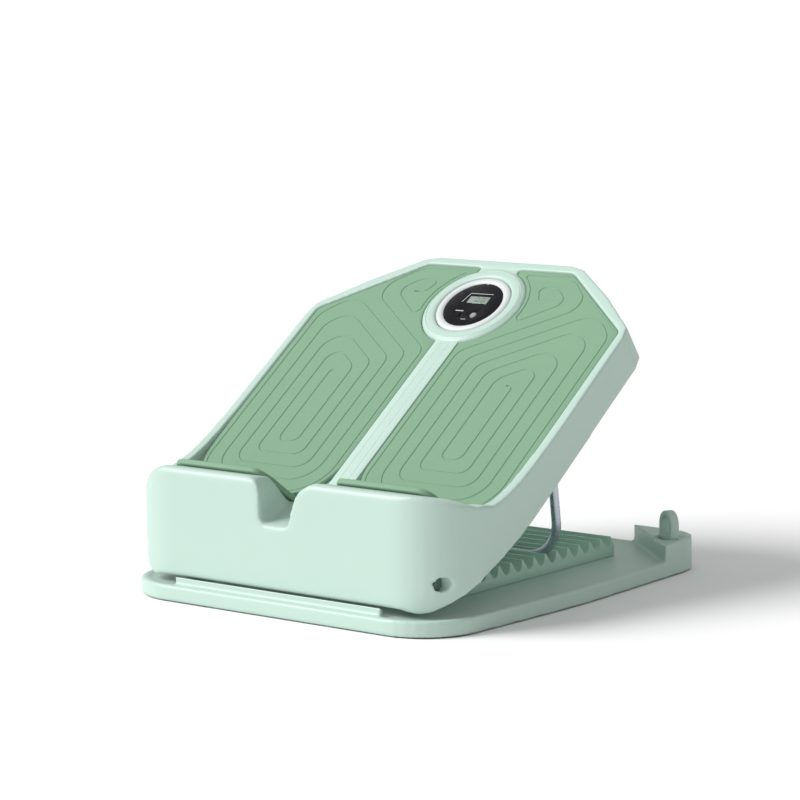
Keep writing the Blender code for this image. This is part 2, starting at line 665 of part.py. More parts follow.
def deck_shell():
    shell = place("deck_shell", prism_mesh(deck_side_profile(), 2 * DECK_HALF + 0.01, SIDE_AXES), MINT, DECK)
    keep(shell, slab_mesh(closed_plan(), -0.2, 0.2), DECK, "deck_plan")
    keep(shell, slab_mesh(rest_plan(), -0.2, 0.4), None, "front_corners")
    for side in (-1, 1):
        falls = [(side * x, z) for x, z in corner_falls()]
        cut(shell, prism_mesh(falls, 0.1, FRONT_AXES, (0.0, FRONT_Y + 0.005, 0.0)), None, "corner_falls")
    cut(shell, inner_void(), DECK, "foot_void")
    join(shell, slab_mesh(centre_strip(), FLOOR - 0.001, PAD_TOP + 0.0006), DECK, "centre_strip")
    join(shell, rod_mesh((0, COUNTER_V, FLOOR - 0.001), (0, COUNTER_V, RIM_TOP + 0.0008), RING_RADIUS - 0.003, 48),
         DECK, "counter_ring")
    hollow = deck_hollow()
    step = shell.modifiers.new("hollow", "BOOLEAN")
    step.operation = "DIFFERENCE"
    step.object = hollow
    cut(shell, notch_mesh(), None, "heel_notch")
    cut(shell, rod_mesh((0, COUNTER_V, -0.0105), (0, COUNTER_V, 0.03), BEZEL_RADIUS + GAP, 48), DECK, "counter_bore")
    cut(shell, rod_mesh((0, COUNTER_V, -0.03), (0, COUNTER_V, 0.03), 0.0160, 32), DECK, "battery_bore")
    cut(shell, rod_mesh((0, COUNTER_V, -0.03), (0, COUNTER_V, -0.0133), 0.0200, 32), DECK, "cover_seat")
    for side in (-1, 1):
        cut(shell, rod_mesh((side * 0.15, 0, 0), (side * 0.19, 0, 0), 0.0060, 28), DECK, "hinge_hole")
        cut(shell, rod_mesh((side * 0.11, 0, 0), (side * 0.155, 0, 0), 0.0053, 24), DECK, "pin_hole")
        for v in CLIP_SCREW_V:
            cut(shell, rod_mesh((side * CLIP_X, v, -0.02), (side * CLIP_X, v, 0.0012), 0.0014, 12), DECK, "clip_pilot")
    shade_round(shell)
    return shell


def foot_pads():
    """Soft pads in the foot recesses: round front corners, an arc round the counter, a cut rear corner."""
    inset = 0.0004
    side = DECK_HALF - RIM_WIDTH - inset
    rear = DECK_REAR - 0.0085 - inset
    front = 0.0672
    ring = RING_RADIUS + inset
    inner = STRIP_HALF + inset
    outline = rounded_corner((0.05, front), (side, front), (side, 0.2), 0.048, 8)
    shift = (0.009 + inset) * 0.42
    outline += rounded_corner((side, 0.2), (side, CHAMFER_SIDE - shift), (CHAMFER_REAR - shift, rear), 0.010, 3)
    outline += rounded_corner((side, CHAMFER_SIDE - shift), (CHAMFER_REAR - shift, rear), (0.0, rear), 0.012, 3)
    outline.append((0.0211, rear))
    end = -math.degrees(math.acos(inner / ring))
    outline += arc((0.0, COUNTER_V), ring, 63.2, end, 16)
    outline += rounded_corner((inner, 0.2), (inner, front), (0.1, front), 0.046, 8)
    for sign, word in ((-1, "left"), (1, "right")):
        mesh = slab_mesh([(sign * x, v) for x, v in outline], FLOOR + GAP, PAD_TOP)
        place(f"foot_pad_{word}", mesh, SAGE, DECK)


def heel_pads():
    """Pads on the leaning inner face of the heel stop; each stands a little proud of the notch beside it."""
    thick = 0.0052
    lean = math.atan(HEEL_LEAN)
    length = 0.0485
    rise = 0.0045
    outline = [(0.0305, 0.0), (0.1180, 0.0), (0.1330, 0.0100), (0.1385, 0.0250), (0.1390, 0.0345),
               (0.1375, 0.0410), (0.1335, 0.0460), (0.1270, length), (0.0480, length), (0.0445, 0.0474),
               (0.0415, 0.0445), (0.0385, 0.0390), (0.0362, 0.0320), (0.0345, 0.0180), (0.0335, 0.0080)]
    middle = INNER_FRONT - HEEL_LEAN * rise + (thick / 2 + GAP) / math.cos(lean)
    for sign, word in ((-1, "left"), (1, "right")):
        mesh = prism_mesh([(sign * x, h) for x, h in outline], thick, FRONT_AXES)
        mesh.transform(Matrix.Translation((0.0, middle, FLOOR + rise)) @ Matrix.Rotation(lean, 4, "X"))
        pad = place(f"heel_pad_{word}", mesh, SAGE, DECK)
        round_edges(pad, 0.0008, 1)


# ---- counter ------------------------------------------------------------------------------------
COUNTER = new_empty("counter_centre", (0.0, COUNTER_V, 0.0), DECK)
LCD_LOW = (-0.0095, 0.0020)
LCD_HIGH = (0.0130, 0.0118)
BUTTONS = (("reset_button", 0.0085, -0.0138, 0.0034), ("mode_button", -0.0085, -0.0138, 0.0026))
FACE_TOP = 0.0084


def counter_local(x, y, w):
    return (x, COUNTER_V + y, w)


def counter_parts():
    bezel_profile = [(BEZEL_RADIUS, 0.0086), (BEZEL_RADIUS, -0.0100), (0.0310, -0.0100), (0.0310, 0.0048),
                     (FACE_RADIUS + GAP, 0.0052), (FACE_RADIUS + GAP, 0.0088), (0.0320, 0.0098)]
    bezel = turned("counter_housing", bezel_profile, BEZEL_WHITE, 48)
    shade_round(bezel)
    face = place("counter_face", rod_mesh((0, 0, 0.0056), (0, 0, FACE_TOP), FACE_RADIUS, 48), FACE_BLACK, COUNTER)
    low = counter_local(*LCD_LOW, 0.0)
    high = counter_local(*LCD_HIGH, 0.02)
    cut(face, box_mesh(low, high), DECK, "window_opening")
    for _, x, y, radius in BUTTONS:
        cut(face, rod_mesh(counter_local(x, y, 0.0), counter_local(x, y, 0.02), radius + 0.00025, 20), DECK,
            "button_hole")
    shade_round(face)
    window = box_mesh((LCD_LOW[0] + GAP, LCD_LOW[1] + GAP, 0.0050), (LCD_HIGH[0] - GAP, LCD_HIGH[1] - GAP, 0.0080))
    place("lcd_window", window, WINDOW_GREY, COUNTER)
    board = place("counter_board", rod_mesh((0, 0, 0.0004), (0, 0, 0.0020), 0.0300, 40), CIRCUIT, COUNTER)
    shade_round(board)
    for name, x, y, radius in BUTTONS:
        button = place(name, rod_mesh((0, 0, 0.0036), (0, 0, 0.0092), radius, 20), BUTTON_GREY, COUNTER)
        button.location = (x, y, 0.0)
        round_edges(button, 0.0004, 1)
        shade_round(button)
    cell = place("coin_cell", rod_mesh((0, 0, -0.0120), (0, 0, -0.0090), 0.0100, 32), ZINC_STEEL, COUNTER)
    shade_round(cell)
    holder = place("cell_holder", rod_mesh((0, 0, -0.0086), (0, 0, 0.0001), 0.0118, 32), FACE_BLACK, COUNTER)
    shade_round(holder)
    cover = place("battery_cover", rod_mesh((0, 0, -0.0154), (0, 0, -0.0136), 0.0196, 32), MINT, COUNTER)
    cut(cover, box_mesh(counter_local(-0.006, -0.0008, -0.03), counter_local(0.006, 0.0008, -0.0146)), DECK,
        "coin_slot")
    shade_round(cover)


def turned(name, profile, look, steps):
    """A ring turned about the counter's axis from a closed profile, given down its outer side."""
    mesh = bpy.data.meshes.new(name)
    shape = bmesh.new()
    verts = [shape.verts.new((r, 0.0, z)) for r, z in profile]
    for i, vert in enumerate(verts):
        shape.edges.new((vert, verts[(i + 1) % len(verts)]))
    shape.to_mesh(mesh)
    shape.free()
    ring = place(name, mesh, look, COUNTER)
    screw = ring.modifiers.new("turn", "SCREW")
    screw.steps = steps
    screw.render_steps = steps
    screw.use_merge_vertices = True
    screw.merge_threshold = 0.00001
    screw.use_smooth_shade = True
    return ring


# ---- prop ---------------------------------------------------------------------------------------
def deck_point(v, w):
    """World position of a point on the deck's middle line."""
    y = HINGE_Y + v * math.cos(TILT) - w * math.sin(TILT)
    z = HINGE_Z + v * math.sin(TILT) + w * math.cos(TILT)
    return y, z


PIVOT_Y, PIVOT_Z = deck_point(PROP_V, PROP_W)
SEAT_Y = GROOVE_FIRST + GROOVE_USED * GROOVE_PITCH
SEAT_Z = GROOVE_Z + WIRE_RADIUS + GAP
LEG_LENGTH = math.hypot(SEAT_Y - PIVOT_Y, SEAT_Z - PIVOT_Z)
LEG_LEAN = math.atan2(SEAT_Y - PIVOT_Y, PIVOT_Z - SEAT_Z)


def prop_wire():
    """U-shaped wire: a bar across the rack, two legs, and ends turned in as pivots."""
    prop = new_empty("prop_pivot", (0.0, PIVOT_Y, PIVOT_Z), tilt=LEG_LEAN)
    x = WIRE_HALF
    route = [(0.0845, 0.0)]
    route += arc((x - WIRE_TOP_BEND, -WIRE_TOP_BEND), WIRE_TOP_BEND, 90, 0, 6)
    route += arc((x - WIRE_FOOT_BEND, -LEG_LENGTH + WIRE_FOOT_BEND), WIRE_FOOT_BEND, 0, -90, 9)
    route += [(-px, pz) for px, pz in reversed(route)]
    curve = bpy.data.curves.new("prop_wire", "CURVE")
    curve.dimensions = "3D"
    curve.bevel_depth = WIRE_RADIUS
    curve.bevel_resolution = 4
    curve.use_fill_caps = True
    spline = curve.splines.new("POLY")
    spline.points.add(len(route) - 1)
    for point, (px, pz) in zip(spline.points, route):
        point.co = (px, 0.0, pz, 1.0)
    wire = bpy.data.objects.new("prop_wire", curve)
    PARTS.objects.link(wire)
    curve.materials.append(ZINC_STEEL)
    wire.parent = prop


def prop_clips():
    """Moulded saddles under the deck that hold the wire's turned-in ends, with two screws each."""
    head = 0.0078
    outline = [(PROP_V - 0.0185, -0.0098), (PROP_V - 0.0185, -0.0136), (PROP_V - 0.0088, -0.0136)]
    outline += arc((PROP_V, PROP_W), head, 155, 385, 11)
    outline += [(PROP_V + 0.0088, -0.0136), (PROP_V + 0.0185, -0.0136), (PROP_V + 0.0185, -0.0098)]
    for side, word in ((-1, "left"), (1, "right")):
        clip = place(f"prop_clip_{word}", prism_mesh(outline, 0.0120, SIDE_AXES, (side * CLIP_X, 0.0, 0.0)),
                     MINT, DECK)
        cut(clip, rod_mesh((side * 0.08, PROP_V, PROP_W), (side * 0.12, PROP_V, PROP_W), WIRE_RADIUS + GAP, 24),
            DECK, "wire_hole")
        for i, v in enumerate(CLIP_SCREW_V):
            cut(clip, rod_mesh((side * CLIP_X, v, -0.03), (side * CLIP_X, v, 0.0), 0.0019, 12), DECK, "screw_hole")
            screw = place(f"clip_screw_{word}_{i + 1}",
                          rod_mesh((0, 0, -0.0140), (0, 0, 0.0008), 0.0011, 10), ZINC_STEEL, DECK)
            screw.location = (side * CLIP_X, v, 0.0)
            join(screw, rod_mesh((side * CLIP_X, v, -0.0158), (side * CLIP_X, v, -0.0139), 0.0030, 16), DECK, "head")
        shade_round(clip)


# ---- assembly -----------------------------------------------------------------------------------
base_plate()
tooth_rack()
rack_screws()
rubber_feet()
band_eyes()
hinge_hardware()
deck_shell()
foot_pads()
heel_pads()
counter_parts()
prop_wire()
prop_clips()
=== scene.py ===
import json
import math

import bmesh
import bpy
from mathutils import Matrix, Vector


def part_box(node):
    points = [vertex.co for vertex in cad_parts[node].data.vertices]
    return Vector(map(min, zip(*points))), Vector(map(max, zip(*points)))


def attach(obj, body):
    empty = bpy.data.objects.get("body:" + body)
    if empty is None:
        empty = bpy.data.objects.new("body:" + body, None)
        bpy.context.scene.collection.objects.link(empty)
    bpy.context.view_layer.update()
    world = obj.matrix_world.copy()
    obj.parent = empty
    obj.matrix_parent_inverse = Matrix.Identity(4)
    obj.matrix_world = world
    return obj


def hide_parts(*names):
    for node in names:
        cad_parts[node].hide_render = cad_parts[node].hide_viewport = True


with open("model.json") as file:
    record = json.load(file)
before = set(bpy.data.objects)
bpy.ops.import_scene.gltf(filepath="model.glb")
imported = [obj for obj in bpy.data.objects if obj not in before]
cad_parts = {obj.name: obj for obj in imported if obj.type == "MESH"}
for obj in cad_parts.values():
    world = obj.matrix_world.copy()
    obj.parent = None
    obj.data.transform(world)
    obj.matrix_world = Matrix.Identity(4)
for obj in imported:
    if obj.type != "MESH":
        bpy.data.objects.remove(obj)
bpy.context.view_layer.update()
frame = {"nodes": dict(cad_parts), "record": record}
NODES = frame["nodes"]

MM = 0.001
TILT = math.radians(35.5)
HINGE = Vector((0.0, -0.17276, 0.04227))
DECK = Matrix.Translation(HINGE) @ Matrix.Rotation(TILT, 4, "X")
# Heights and places on the deck are in deck mm: x to the right, v up the slope from the hinge, and the height
# along the deck's normal. DECK takes them to the scene.
COUNTER_V = 317.8
COUNTER = (0.0, COUNTER_V)
PAD_TOP = 7.05
FACE_MARK_TOP = 8.45
DIGIT_TOP = 8.07
RESET_MARK_TOP = 9.28
BODY = {node: body for body, nodes in frame["record"]["behaviour"]["bodies"].items() for node in nodes}
SLOT = {part["node"]: part["material_slot"] for part in frame["record"]["subparts"]}


# ---- materials ----------------------------------------------------------------------------------
def new_material(name):
    """A new material with its nodes, links and main shader."""
    made = bpy.data.materials.new(name)
    made.use_nodes = True
    nodes = made.node_tree.nodes
    return made, nodes, made.node_tree.links, nodes["Principled BSDF"]


def noise(nodes, links, place, scale, detail=3.0, roughness=0.5):
    """A noise texture in the piece's own coordinates."""
    texture = nodes.new("ShaderNodeTexNoise")
    texture.inputs["Scale"].default_value = scale
    texture.inputs["Detail"].default_value = detail
    texture.inputs["Roughness"].default_value = roughness
    links.new(place.outputs["Object"], texture.inputs["Vector"])
    return texture


def remap(nodes, links, value, low, high):
    """Spread a 0 to 1 value over low to high."""
    spread = nodes.new("ShaderNodeMapRange")
    spread.inputs["To Min"].default_value = low
    spread.inputs["To Max"].default_value = high
    links.new(value, spread.inputs["Value"])
    return spread.outputs["Result"]


def plastic(name, colour, dark, roughness, grain=900.0, bump=0.05, specular=0.5, sheen=0.0):
    """Moulded plastic or rubber: cloudy colour, uneven gloss, fine grain and slightly worn edges."""
    made, nodes, links, shader = new_material(name)
    place = nodes.new("ShaderNodeTexCoord")
    cloud = noise(nodes, links, place, 14.0)
    mix = nodes.new("ShaderNodeMix")
    mix.data_type = "RGBA"
    mix.inputs["A"].default_value = colour
    mix.inputs["B"].default_value = dark
    links.new(remap(nodes, links, cloud.outputs["Fac"], 0.0, 0.55), mix.inputs["Factor"])
    wear = nodes.new("ShaderNodeMix")
    wear.data_type = "RGBA"
    geometry = nodes.new("ShaderNodeNewGeometry")
    edge = nodes.new("ShaderNodeMapRange")
    edge.inputs["From Min"].default_value = 0.52
    edge.inputs["From Max"].default_value = 0.60
    edge.inputs["To Max"].default_value = 0.22
    links.new(geometry.outputs["Pointiness"], edge.inputs["Value"])
    links.new(edge.outputs["Result"], wear.inputs["Factor"])
    links.new(mix.outputs["Result"], wear.inputs["A"])
    wear.inputs["B"].default_value = tuple(min(1.0, c * 1.12 + 0.02) for c in colour[:3]) + (1.0,)
    links.new(wear.outputs["Result"], shader.inputs["Base Color"])
    patch = noise(nodes, links, place, 60.0, 4.0)
    links.new(remap(nodes, links, patch.outputs["Fac"], roughness - 0.06, roughness + 0.06),
              shader.inputs["Roughness"])
    fine = noise(nodes, links, place, grain, 2.0, 0.6)
    relief = nodes.new("ShaderNodeBump")
    relief.inputs["Strength"].default_value = bump
    relief.inputs["Distance"].default_value = 0.0004
    links.new(fine.outputs["Fac"], relief.inputs["Height"])
    links.new(relief.outputs["Normal"], shader.inputs["Normal"])
    shader.inputs["Specular IOR Level"].default_value = specular
    shader.inputs["Sheen Weight"].default_value = sheen
    return made


def metal(name, colour, roughness, brush=(6.0, 6.0, 400.0)):
    """Zinc-plated steel: long fine drawing marks and cloudy plating."""
    made, nodes, links, shader = new_material(name)
    place = nodes.new("ShaderNodeTexCoord")
    stretch = nodes.new("ShaderNodeMapping")
    stretch.inputs["Scale"].default_value = brush
    links.new(place.outputs["Object"], stretch.inputs["Vector"])
    marks = nodes.new("ShaderNodeTexNoise")
    marks.inputs["Scale"].default_value = 8.0
    marks.inputs["Detail"].default_value = 6.0
    links.new(stretch.outputs["Vector"], marks.inputs["Vector"])
    cloud = noise(nodes, links, place, 40.0)
    mix = nodes.new("ShaderNodeMix")
    mix.data_type = "RGBA"
    mix.inputs["A"].default_value = colour
    mix.inputs["B"].default_value = tuple(c * 0.78 for c in colour[:3]) + (1.0,)
    links.new(remap(nodes, links, cloud.outputs["Fac"], 0.0, 0.7), mix.inputs["Factor"])
    links.new(mix.outputs["Result"], shader.inputs["Base Color"])
    links.new(remap(nodes, links, marks.outputs["Fac"], roughness - 0.08, roughness + 0.12),
              shader.inputs["Roughness"])
    relief = nodes.new("ShaderNodeBump")
    relief.inputs["Strength"].default_value = 0.12
    relief.inputs["Distance"].default_value = 0.0002
    links.new(marks.outputs["Fac"], relief.inputs["Height"])
    links.new(relief.outputs["Normal"], shader.inputs["Normal"])
    shader.inputs["Metallic"].default_value = 1.0
    return made


def glass(name, colour):
    """The display's cover: smudged, slightly uneven in tint, with a clear coat."""
    made, nodes, links, shader = new_material(name)
    place = nodes.new("ShaderNodeTexCoord")
    smudge = noise(nodes, links, place, 120.0, 5.0)
    links.new(remap(nodes, links, smudge.outputs["Fac"], 0.05, 0.22), shader.inputs["Roughness"])
    tint = nodes.new("ShaderNodeMix")
    tint.data_type = "RGBA"
    tint.inputs["A"].default_value = colour
    tint.inputs["B"].default_value = tuple(c * 0.85 for c in colour[:3]) + (1.0,)
    links.new(smudge.outputs["Fac"], tint.inputs["Factor"])
    links.new(tint.outputs["Result"], shader.inputs["Base Color"])
    shader.inputs["Coat Weight"].default_value = 0.6
    return made


LOOKS = {
    "mint_abs": plastic("mint_plastic", (0.468, 0.612, 0.545, 1.0), (0.444, 0.585, 0.520, 1.0), 0.42,
                        bump=0.04),
    "sage_tpe": plastic("sage_pad", (0.190, 0.335, 0.213, 1.0), (0.170, 0.310, 0.195, 1.0), 0.60,
                        grain=1500.0, bump=0.22, sheen=0.08),
    "white_abs": plastic("white_plastic", (0.64, 0.66, 0.66, 1.0), (0.60, 0.62, 0.62, 1.0), 0.32, bump=0.02),
    "black_gloss": plastic("black_gloss", (0.006, 0.006, 0.008, 1.0), (0.012, 0.012, 0.014, 1.0), 0.22,
                           bump=0.01, specular=0.12),
    "lcd_window": glass("display_glass", (0.270, 0.330, 0.290, 1.0)),
    "button_grey": plastic("grey_button", (0.20, 0.21, 0.22, 1.0), (0.15, 0.155, 0.165, 1.0), 0.42),
    "zinc_steel": metal("zinc_steel", (0.50, 0.56, 0.62, 1.0), 0.26),
    "foot_rubber": plastic("foot_rubber", (0.05, 0.055, 0.05, 1.0), (0.03, 0.033, 0.03, 1.0), 0.75, bump=0.3),
    "circuit_board": plastic("circuit_board", (0.02, 0.16, 0.07, 1.0), (0.015, 0.12, 0.05, 1.0), 0.45),
    "bush_nylon": plastic("bush_nylon", (0.80, 0.79, 0.74, 1.0), (0.72, 0.71, 0.66, 1.0), 0.45),
}
# Painted bounce light: a greener copy of the mint plastic for the rack, standing in for the green light
# reflected into its shade under the deck.
MINT_PAINTED_BOUNCE = plastic("mint_rack_painted_bounce", (0.440, 0.635, 0.535, 1.0), (0.415, 0.605, 0.510, 1.0), 0.45, bump=0.04)
LIGHT_MARK = plastic("light_mark", (0.62, 0.64, 0.66, 1.0), (0.50, 0.52, 0.54, 1.0), 0.35)
# Painted shade: the mint plastic's colour as it looks deep in the hinge holes' shade, used for the hinge
# pins' ends in place of their steel.
PIN_PAINTED_SHADE = plastic("pin_painted_shade", (0.075, 0.125, 0.098, 1.0), (0.060, 0.105, 0.082, 1.0), 0.5)
DIGIT = plastic("digit_segment", (0.035, 0.045, 0.04, 1.0), (0.05, 0.06, 0.055, 1.0), 0.5)


# ---- mesh helpers -------------------------------------------------------------------------------
def new_object(name, mesh, look=None):
    """A mesh or curve placed in the scene."""
    made = bpy.data.objects.new(name, mesh)
    bpy.context.scene.collection.objects.link(made)
    if look:
        mesh.materials.clear()
        mesh.materials.append(look)
    return made


def cad_copy(node, space):
    """A copy of a CAD node's mesh in the given space, welded and with its flat faces merged."""
    mesh = NODES[node].data.copy()
    mesh.transform(space.inverted())
    shape = bmesh.new()
    shape.from_mesh(mesh)
    bmesh.ops.remove_doubles(shape, verts=shape.verts, dist=0.00001)
    bmesh.ops.dissolve_limit(shape, angle_limit=0.01, verts=shape.verts, edges=shape.edges)
    for face in shape.faces:
        face.smooth = True
    shape.to_mesh(mesh)
    shape.free()
    return mesh


def bake(made, space=None, sharp=40):
    """Apply a piece's modifiers, move it from its working space and set smooth shading."""
    bpy.context.view_layer.update()
    evaluated = made.evaluated_get(bpy.context.evaluated_depsgraph_get())
    mesh = bpy.data.meshes.new_from_object(evaluated)
    made.modifiers.clear()
    if made.type == "CURVE":
        name = made.name
        bpy.data.objects.remove(made, do_unlink=True)
        made = new_object(name, mesh)
    else:
        made.data = mesh
    if space is not None:
        mesh.transform(space)
    mesh.shade_smooth()
    if sharp:
        mesh.set_sharp_from_angle(angle=math.radians(sharp))
    return made


REPLACED = set()


def settle(made, node, look=None):
    """Give a piece the body and finish of its CAD node."""
    made.data.materials.clear()
    made.data.materials.append(look or LOOKS[SLOT[node]])
    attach(made, BODY[node])
    return made


def stand_for(made, node, look=None):
    """Settle a piece and let it take its CAD node's place."""
    REPLACED.add(node)
    settle(made, node, look)
    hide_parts(node)
    return made


def add_bevel(made, width, segments, angle):
    """Round the edges that are sharper than angle."""
    step = made.modifiers.new("edges", "BEVEL")
    step.width = width
    step.segments = segments
    step.limit_method = "ANGLE"
    step.angle_limit = math.radians(angle)


def bevelled(node, width, segments=3, angle=40, space=Matrix()):
    """The CAD shape with its edges rounded, still to be baked."""
    made = new_object(node + "_detail", cad_copy(node, space))
    add_bevel(made, width, segments, angle)
    return made


def moulded(node, voxel, passes, space=Matrix()):
    """A moulded shell with every edge softened: the CAD shape remeshed finely and smoothed."""
    made = new_object(node + "_detail", cad_copy(node, space))
    remesh = made.modifiers.new("remesh", "REMESH")
    remesh.mode = "VOXEL"
    remesh.voxel_size = voxel
    smooth = made.modifiers.new("soften", "SMOOTH")
    smooth.factor = 0.5
    smooth.iterations = passes
    return bake(made, space, sharp=None)


def lighten(made, ratio):
    """Fewer faces on the flat stretches of a finely remeshed shell."""
    step = made.modifiers.new("lighten", "DECIMATE")
    step.ratio = ratio
    return bake(made, sharp=None)


def ramp(value, low, high):
    """0 at low, 1 at high, straight between them."""
    return min(max((value - low) / (high - low), 0.0), 1.0)


HEEL_FADE = (-0.154, -0.134)
SHAPED_FROM = 0.12
END_FALL = 0.027
CORNER_TUCK = 0.0055


def shape_heel_stop(deck):
    """Let the left end of the heel stop fall away in a wide curve and tuck both lower corners in."""
    for vert in deck.data.vertices:
        out = abs(vert.co.x)
        front = 1.0 - ramp(vert.co.y, *HEEL_FADE)
        if front == 0.0 or out < SHAPED_FROM:
            continue
        if vert.co.x < 0.0:
            fall = END_FALL * ramp(out, 0.124, 0.172) ** 1.6
            vert.co.z -= fall * front * ramp(vert.co.z, 0.050, 0.104)
        tuck = CORNER_TUCK * ramp(0.042 - vert.co.z, 0.0, 0.026) ** 2 * ramp(out, 0.120, 0.150)
        vert.co.x -= math.copysign(tuck * front, vert.co.x)


def round_heel_stop(deck, passes=34):
    """Large soft roundings on the heel stop's top, ends and lower edge, fading out round the hinge holes."""
    group = deck.vertex_groups.new(name="heel_stop")
    to_deck = DECK.inverted()
    for vert in deck.data.vertices:
        local = to_deck @ vert.co
        from_hinge = math.hypot(vert.co.y - HINGE.y, vert.co.z - HINGE.z)
        weight = 1.0 - ramp(local.y, 0.030, 0.052)
        if abs(vert.co.x) > 0.1:
            weight *= ramp(from_hinge, 0.011, 0.019)
        if weight > 0.0:
            group.add([vert.index], weight, "REPLACE")
    smooth = deck.modifiers.new("round", "SMOOTH")
    smooth.factor = 0.5
    smooth.iterations = passes
    smooth.vertex_group = "heel_stop"
    return bake(deck, sharp=None)


def rounded_path(corners, closed=False, spacing=1.2):
    """Points in mm along a path whose corners (x, y, radius) are rounded by arcs."""
    points = []
    count = len(corners)
    for i, (x, y, radius) in enumerate(corners):
        here = Vector((x, y))
        if not closed and i in (0, count - 1) or radius == 0:
            points.append(here)
            continue
        before = Vector(corners[i - 1][:2]) - here
        after = Vector(corners[(i + 1) % count][:2]) - here
        half = before.angle(after) / 2
        reach = min(radius / math.tan(half), 0.49 * before.length, 0.49 * after.length)
        size = reach * math.tan(half)
        centre = here + (before.normalized() + after.normalized()).normalized() * size / math.sin(half)
        first = here + before.normalized() * reach - centre
        last = here + after.normalized() * reach - centre
        steps = max(3, int(size * first.angle(last) / spacing))
        for k in range(steps + 1):
            points.append(centre + first.lerp(last, k / steps).normalized() * size)
    return points


def tube(name, points, radius, closed=False, sides=2, height=0.0):
    """A round tube along points in mm, which lie at one height unless they have their own."""
    curve = bpy.data.curves.new(name, "CURVE")
    curve.dimensions = "3D"
    curve.bevel_depth = radius * MM
    curve.bevel_resolution = sides
    curve.use_fill_caps = not closed
    spline = curve.splines.new("POLY")
    spline.points.add(len(points) - 1)
    for point, place in zip(spline.points, points):
        z = place[2] if len(place) > 2 else height
        point.co = (place[0] * MM, place[1] * MM, z * MM, 1.0)
    spline.use_cyclic_u = closed
    return new_object(name, curve)


def carve(made, tool):
    """Cut a tool out of a piece and remove the tool."""
    tool = bake(tool, sharp=None)
    shape = bmesh.new()
    shape.from_mesh(tool.data)
    bmesh.ops.remove_doubles(shape, verts=shape.verts, dist=0.000001)
    shape.to_mesh(tool.data)
    shape.free()
    step = made.modifiers.new("carve", "BOOLEAN")
    step.operation = "DIFFERENCE"
    step.solver = "EXACT"
    step.use_self = True
    step.object = tool
    bpy.context.view_layer.update()
    evaluated = made.evaluated_get(bpy.context.evaluated_depsgraph_get())
    mesh = bpy.data.meshes.new_from_object(evaluated)
    made.modifiers.clear()
    made.data = mesh
    bpy.data.objects.remove(tool, do_unlink=True)
    return made


def lathe(name, profile, steps, centre):
    """A solid turned about the deck's normal from a closed profile (radius, height) in mm."""
    mesh = bpy.data.meshes.new(name)
    shape = bmesh.new()
    verts = [shape.verts.new((r * MM, 0.0, z * MM)) for r, z in profile]
    for i, vert in enumerate(verts):
        shape.edges.new((vert, verts[(i + 1) % len(verts)]))
    bmesh.ops.spin(shape, geom=shape.verts[:] + shape.edges[:], axis=(0, 0, 1), cent=(0, 0, 0),
                   angle=2 * math.pi, steps=steps, use_merge=True)
    bmesh.ops.remove_doubles(shape, verts=shape.verts, dist=0.000001)
    bmesh.ops.recalc_face_normals(shape, faces=shape.faces)
    bmesh.ops.translate(shape, vec=(centre[0] * MM, centre[1] * MM, 0.0), verts=shape.verts)
    shape.to_mesh(mesh)
    shape.free()
    return new_object(name, mesh)


def arc(centre, radius, start, end, steps):
    """Points along an arc, with its ends in degrees."""
    points = []
    for i in range(steps + 1):
        a = math.radians(start + (end - start) * i / steps)
        points.append((centre[0] + radius * math.cos(a), centre[1] + radius * math.sin(a)))
    return points


# ---- foot pads ----------------------------------------------------------------------------------
GROOVE_PITCH = 14.8
GROOVE_SLOPE = 0.70
GROOVE_RADIUS = 1.1
INNER_LEFT, INNER_RIGHT, INNER_LOW, INNER_END = 78.0, 99.2, 129.5, 222.5


def groove_spiral():
    """The engraved line of the right pad in deck mm: a long spiral that runs on into a small one."""
    corners = [(92.0, INNER_END, 0), (INNER_RIGHT, INNER_END, 7)]
    for turn, bend in enumerate((9.0, 11.0, 16.0, 27.0, 38.0)):
        grow = GROOVE_PITCH * turn
        left = INNER_LEFT - grow
        right = INNER_RIGHT + grow
        outer = right + GROOVE_PITCH
        low = INNER_LOW - (14.9 if turn < 4 else 14.6) * turn
        corners.append((right, low, bend))
        corners.append((left, low, bend))
        knee = 238.0 + 17.7 * turn + GROOVE_SLOPE * (left - 90.0)
        corners.append((left, knee, 16.0))
        if turn < 3:
            corners.append((outer, knee + GROOVE_SLOPE * (outer - left), 17.0 + 2.0 * turn))
        elif turn == 3:
            corners.append((121.0, knee + GROOVE_SLOPE * (121.0 - left), 22.0))
            corners.append((141.0, 312.0, 20.0))
            corners.append((outer, 292.0, 22.0))
    corners.append((118.0, 329.0, 24.0))
    corners.append((84.0, 361.5, 26.0))
    corners.append((33.0, 361.5, 5.0))
    corners += [(x, v, 0) for x, v in arc(COUNTER, 53.6, 50, -10, 12)]
    corners.append((57.0, 302.5, 3.0))
    corners.append((93.0, 331.0, 15.0))
    corners.append((76.0, 347.5, 16.0))
    corners.append((54.0, 348.5, 5.0))
    corners.append((63.0, 331.5, 5.0))
    corners.append((74.0, 331.0, 0))
    return corners


def foot_pads():
    """Both foot pads, with the engraved line cut into them; the left one mirrors the right."""
    for sign, word in ((-1, "left"), (1, "right")):
        node = f"foot_pad_{word}"
        pad = bevelled(node, 0.0013, 3, 60, DECK)
        pad = bake(pad, sharp=None)
        path = [(sign * p.x, p.y) for p in rounded_path(groove_spiral())]
        carve(pad, tube("groove", path, GROOVE_RADIUS, height=PAD_TOP + 0.5))
        bake(pad, DECK, 35)
        stand_for(pad, node)


def heel_pads():
    """The pads on the heel stop's rear face."""
    for word in ("left", "right"):
        node = f"heel_pad_{word}"
        pad = bake(bevelled(node, 0.0009, 3, 40), sharp=50)
        stand_for(pad, node)


# ---- deck ---------------------------------------------------------------------------------------
STRIP_HALF = 12.1
RING_RADIUS = 47.6
LINE_X = 4.6
LINE_RING = 44.4


